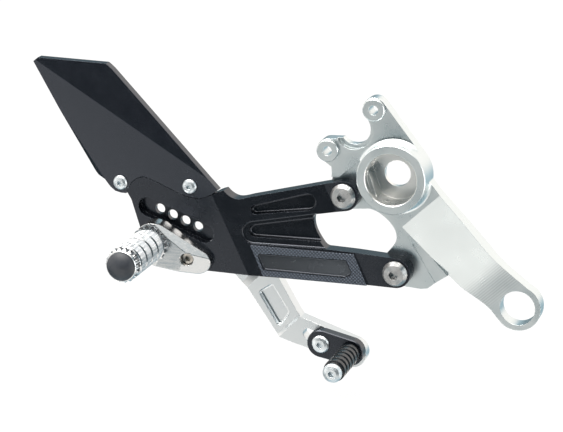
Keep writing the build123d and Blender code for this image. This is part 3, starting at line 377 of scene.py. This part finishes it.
def inside(points, corners):
    """True where plane points lie inside a convex outline given anticlockwise."""
    hit = np.ones(len(points), bool)
    for a, b in zip(corners, corners[1:] + corners[:1]):
        hit &= (b[0] - a[0]) * (points[:, 1] - a[1]) - (b[1] - a[1]) * (points[:, 0] - a[0]) > 0
    return hit


def knurled_panel(finish):
    """Diamond field on the lower arm: a slanted parallelogram of four-sided points, each the lesser of two
    triangle waves run at plus and minus 45 degrees, laid on the arm's sloping face and left out over the
    recess. The diamonds are drawn coarser than real ones, so that they show."""
    rows, columns = 88, 290
    pitch, diamond_height, sink, edge_slope = 2.4, 0.4, 0.12, 0.8
    # How fast the painted valley shade deepens away from the diamonds' points
    valley_steepness = 1.3
    corner = np.array(PANEL_TOP_REAR)
    forward, down = np.array(PANEL_TOP_FRONT) - corner, np.array(PANEL_LOW_REAR) - corner
    u, v = np.meshgrid(np.linspace(0, 1, columns), np.linspace(0, 1, rows))
    plan = (corner + u[..., None] * forward + v[..., None] * down).reshape(-1, 2)
    x, z = plan.T
    diamond = np.minimum(zigzag((x + z) / pitch), zigzag((x - z) / pitch))
    face = np.interp(x * FALL_X + z * FALL_Z, [BEND_T0, BEND_T1], [H_PLATE, H_PAD])
    rim = np.minimum(np.minimum(u, 1 - u) * PANEL_LONG, np.minimum(v, 1 - v) * PANEL_SHORT).ravel()
    height = face - sink + np.minimum(rim * edge_slope, sink + diamond_height * diamond)
    quads = grid_quads(rows, columns)
    quads = quads[~inside(plan, RECESS)[quads].any(axis=1)]
    surface("knurled_panel", np.column_stack([x, height, z]), quads, 1 - valley_steepness * diamond,
            "footrest_set", finish)


def knurled_footpeg(finish):
    """Footpeg: a closed profile of radius and height spun about the peg's axis. On its four bands the radius
    carries diamonds, the lesser of two triangle waves that wind opposite ways; the two end rings carry
    teeth."""
    bands, diamonds_round, teeth = 4, 40, 18
    diamond_depth, tooth_depth, tooth_power = 0.8, 1.5, 1.5
    turns, step = 300, 0.28
    bolt_r, cap_r, tip_r, neck_r, groove_r, band_r, ring_r = 5.15, 8.6, 10.4, 10.8, 11.0, 12.0, 13.0
    # What lies beyond these radii is cut fine, knurled, or toothed on the ring and on the crown
    fine_r, knurl_r, ring_tooth_r, crown_tooth_r = 10.9, 11.9, 12.2, 11.3
    seat_gap, bevel, groove, cap_depth = 0.05, 0.6, 1.2, 22.0
    base, top = H_PEG, H_PEG + PEG_LEN
    ring_0, ring_1 = base + 3.2, base + 7.8
    band_0, band_1 = base + 9.0, top - 7.0
    crown_0, crown_1, neck_0 = band_1 + 0.8, band_1 + 4.4, band_1 + 5.2
    band = (band_1 - band_0) / bands
    corners = [(bolt_r, base + seat_gap), (tip_r, base + seat_gap), (tip_r, ring_0), (ring_r, ring_0 + bevel),
               (ring_r, ring_1 - bevel), (groove_r, ring_1)]
    for i in range(bands):
        start, end = band_0 + i * band, band_0 + (i + 1) * band - groove
        corners += [(groove_r, start), (band_r, start + bevel), (band_r, end - bevel), (groove_r, end)]
    corners += [(groove_r, band_1 + bevel), (band_r, band_1 + 2 * bevel), (band_r, crown_1), (neck_r, neck_0),
                (neck_r, top - bevel), (tip_r, top), (cap_r, top), (cap_r, top - cap_depth),
                (bolt_r, top - cap_depth)]
    corners = np.array(corners + corners[:1])
    lengths = np.linalg.norm(np.diff(corners, axis=0), axis=1)
    outside = corners[:, 0] > fine_r
    counts = np.where(outside[:-1] & outside[1:], np.ceil(lengths / step), 1).astype(int)
    profile = np.concatenate([a + (b - a) * np.arange(n)[:, None] / n
                              for a, b, n in zip(corners[:-1], corners[1:], counts)])
    r, h = profile[:, :1], profile[:, 1:]
    angle = np.arange(turns) / turns
    wind = h / (2 * math.pi * band_r / diamonds_round)
    diamond = np.minimum(zigzag(angle * diamonds_round + wind), zigzag(angle * diamonds_round - wind))
    on_band = (h > band_0) & (h < band_1) & (r > knurl_r)
    lift = np.where(on_band, (diamond - 1) * diamond_depth, 0.0)
    on_ring = ((r > ring_tooth_r) & (h < ring_1)) | ((r > crown_tooth_r) & (h > crown_0))
    lift = np.where(on_ring, -tooth_depth * zigzag(angle * teeth) ** tooth_power, lift)
    cut_r, height = np.broadcast_arrays(r + lift, h)
    points = np.stack([PEG[0] + cut_r * np.cos(2 * math.pi * angle), height,
                       PEG[1] + cut_r * np.sin(2 * math.pi * angle)], -1).reshape(-1, 3)
    rows = len(profile)
    quads = grid_quads(rows + 1, turns, wrap=True) % (rows * turns)
    # Depth into the valleys and between the teeth, which the knurled finish paints as shade
    piece = surface("knurled_footpeg", points, quads, -lift.ravel() / diamond_depth, "footrest_set",
                    finish)
    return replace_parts(piece, "footpeg")


def dress(finish, *nodes):
    """Gives CAD nodes a finish."""
    for name in nodes:
        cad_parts[name].material_slots[0].material = finish


def studio_floor(level):
    """Pale floor: white to the camera, plain white paper to the light that falls on it, and open to
    reflections, which show the studio round it."""
    reach, glow_share = 3, 0.94
    mesh = bpy.data.meshes.new("studio_floor")
    corners = [(x * reach, y * reach, level) for x, y in ((-1, -1), (1, -1), (1, 1), (-1, 1))]
    mesh.from_pydata(corners, [], [(0, 1, 2, 3)])
    made = bpy.data.materials.new("white_paper")
    made.use_nodes = True
    tree = made.node_tree
    tree.nodes.clear()
    seen = add(tree, "LightPath").outputs
    paper = add(tree, "BsdfDiffuse", {"Color": linear("#F4F4F4")})
    glow = add(tree, "Emission", {"Strength": 1.0})
    clear = add(tree, "BsdfTransparent")
    shown = add(tree, "MixShader", {0: glow_share, 1: paper, 2: glow})
    lit = add(tree, "MixShader", {0: seen["Is Camera Ray"], 1: paper, 2: shown})
    passed = add(tree, "MixShader", {0: seen["Is Glossy Ray"], 1: lit, 2: clear})
    add(tree, "OutputMaterial", {"Surface": passed})
    mesh.materials.append(made)
    floor = bpy.data.objects.new("studio_floor", mesh)
    bpy.context.scene.collection.objects.link(floor)


def studio_world():
    """Studio round the object, white to the camera. Each light is a product of zones, and the strongest light
    shows in each direction. A zone eases from one strength to another as a value of the direction runs
    between two ends."""
    world = bpy.data.worlds.new("studio")
    bpy.context.scene.world = world
    world.use_nodes = True
    tree = world.node_tree
    tree.nodes.clear()
    look = add(tree, "TexCoord").outputs["Generated"]
    x, y, z = add(tree, "SeparateXYZ", {0: look}).outputs
    left_up = add(tree, "VectorMath", {0: look, 1: (-0.9, 0.0, 0.44)}, operation="DOT_PRODUCT")
    left_down = add(tree, "Math", {0: x, 1: z}, operation="ADD")
    # Value, its two ends, and the strength at each end
    table_below = ((z, -0.36, -0.47, 0.0, 1.55), (x, -0.45, -0.7, 1.0, 0.12), (x, 0.0, 0.35, 1.0, 0.85),
                   (z, -0.6, -0.75, 1.0, 0.55))
    card_low_left = ((left_down, -0.48, -0.76, 0.12, 1.75), (y, -0.3, -0.6, 0.0, 1.0))
    paper_behind = ((y, -0.3, 0.4, 0.0, 1.0), (x, -0.5, 0.1, 0.35, 1.28), (z, -0.3, 0.1, 0.6, 1.0))
    box_above = ((z, 0.55, 0.8, 0.0, 6.5), (y, 0.3, -0.1, 0.0, 1.0), (x, 0.45, 0.15, 0.26, 1.0))
    box_right = ((x, 0.78, 0.9, 0.0, 1.3), (y, 0.1, -0.15, 0.0, 1.0), (z, -0.16, -0.27, 1.0, 4.0))
    box_high_left = ((left_up, 0.64, 0.84, 0.0, 1.4), (y, 0.6, 0.4, 0.15, 1.0))
    level = 0.0
    for zones in (table_below, card_low_left, paper_behind, box_above, box_right, box_high_left):
        light = 1.0
        for value, start, end, low, high in zones:
            zone = add(tree, "MapRange", {"Value": value, 1: start, 2: end, 3: low, 4: high},
                       interpolation_type="SMOOTHSTEP")
            light = add(tree, "Math", {0: light, 1: zone}, operation="MULTIPLY")
        level = add(tree, "Math", {0: level, 1: light}, operation="MAXIMUM")
    # Weak light is cool and strong light a little warm
    warmth = add(tree, "MapRange", {"Value": level, 1: 0.8, 2: 1.2})
    tint = add(tree, "Mix", {0: warmth, 6: linear("#BEDBE6"), 7: linear("#FFF9F3")}, data_type="RGBA")
    room = add(tree, "Background", {"Color": tint, "Strength": level})
    white = add(tree, "Background", {"Color": (1, 1, 1, 1), "Strength": 1.0})
    seen = add(tree, "LightPath").outputs["Is Camera Ray"]
    shown = add(tree, "MixShader", {0: seen, 1: room, 2: white})
    add(tree, "OutputWorld", {"Surface": shown})


def soft_box(name, place, aim, width, length, power):
    """Area lamp of a width and length at a place, turned to a point; metres and watts."""
    lamp = bpy.data.lights.new(name, "AREA")
    lamp.shape = "RECTANGLE"
    lamp.size, lamp.size_y = width, length
    lamp.energy = power
    made = bpy.data.objects.new(name, lamp)
    made.location = place
    made.rotation_euler = (Vector(aim) - Vector(place)).to_track_quat("-Z", "Y").to_euler()
    bpy.context.scene.collection.objects.link(made)


def photo_camera():
    """Camera at the photograph's place: round to the front, a little above, with a long lens. It stands so
    that the pivot, which is the origin, falls on its own place in the photograph."""
    around, above = math.radians(CAMERA_ROUND_DEG), math.radians(CAMERA_ABOVE_DEG)
    right = Vector((math.cos(around), math.sin(around), 0))
    back = Vector((math.sin(around) * math.cos(above), -math.cos(around) * math.cos(above), math.sin(above)))
    up = back.cross(right)
    lens = bpy.data.cameras.new("photo_camera")
    lens.sensor_width = 36.0
    lens.lens = FOCAL_LENGTH * lens.sensor_width / PHOTO_WIDTH
    lens.clip_start, lens.clip_end = 0.05, 20.0
    made = bpy.data.objects.new("photo_camera", lens)
    across, rise = PIVOT_ACROSS - PHOTO_WIDTH / 2, PHOTO_HEIGHT / 2 - PIVOT_DOWN
    ray = right * (across / FOCAL_LENGTH) + up * (rise / FOCAL_LENGTH) - back
    turn = Matrix((right, up, back)).transposed().to_4x4()
    made.matrix_world = Matrix.Translation(ray * -CAMERA_DISTANCE) @ turn
    bpy.context.scene.collection.objects.link(made)
    bpy.context.scene.camera = made


black = black_anodised("black_anodised_blasted_aluminium", "#06080C", "#0B0E13", 0.22, 0.30, 1.6, True)
guard_black = black_anodised("black_anodised_brushed_aluminium", "#0A0C11", "#101319", 0.20, 0.28, 1.7)
dress(milled_aluminium("clear_anodised_milled_aluminium", "#D8E1E3", "#E3E9EA"), "carrier_plate")
dress(milled_aluminium("clear_anodised_lever_aluminium", "#D5DADD", "#E0E5E7"), "brake_lever")
dress(black, "footrest_bracket", "toe_carrier")
dress(guard_black, "heel_guard")
dress(polished_aluminium(), "peg_holder")
dress(turned_steel("turned_stainless_steel", BRACKET_BOLTS, "#ABADAE", "#C8C9C9", 0.6), "bracket_bolts")
dress(turned_steel("turned_holder_steel", [HOLDER_BOLT], "#B4AEA6", "#CFCAC2", 0.45), "peg_holder_bolt")
dress(turned_steel("ground_pin_steel", [LEVER_PIVOT], "#8F9194", "#B5B7B9", 0.6),
      "lever_pivot_bolt", "lever_stop_pin", "lever_thrust_washer", "lever_wave_washer")
dress(zinc_plated(), "heel_guard_screws", "toe_carrier_screw", "toe_peg_screw", "toe_slot_nut", "peg_bolt",
      "peg_bolt_washer")
dress(moulded_black("satin_moulded_plastic", "#23272D", "#2E333A", 0.42, 0.54, 0.35), "peg_end_cap")
dress(moulded_black("ribbed_moulded_rubber", "#0F1215", "#1A1E22", 0.15, 0.25, 0.4), "toe_peg_sleeve")
dress(sintered_bronze(), "lever_bush")
knurled_panel(knurled_black())
knurled_footpeg(knurled_aluminium())

studio_floor(cad_box[0].z - FLOOR_GAP)
studio_world()
# A strip overhead lights the rounded walls of the pockets, a square box at the right the lever and the peg
soft_box("top_strip_box", (-0.45, -0.25, 0.79), (-0.08, -0.25, -0.03), 0.16, 0.45, 3.4)
soft_box("right_soft_box", (0.82, -0.30, 0.06), (-0.08, 0.0, -0.03), 0.45, 0.45, 1.2)
photo_camera()
bpy.context.scene.view_settings.view_transform = "Standard"
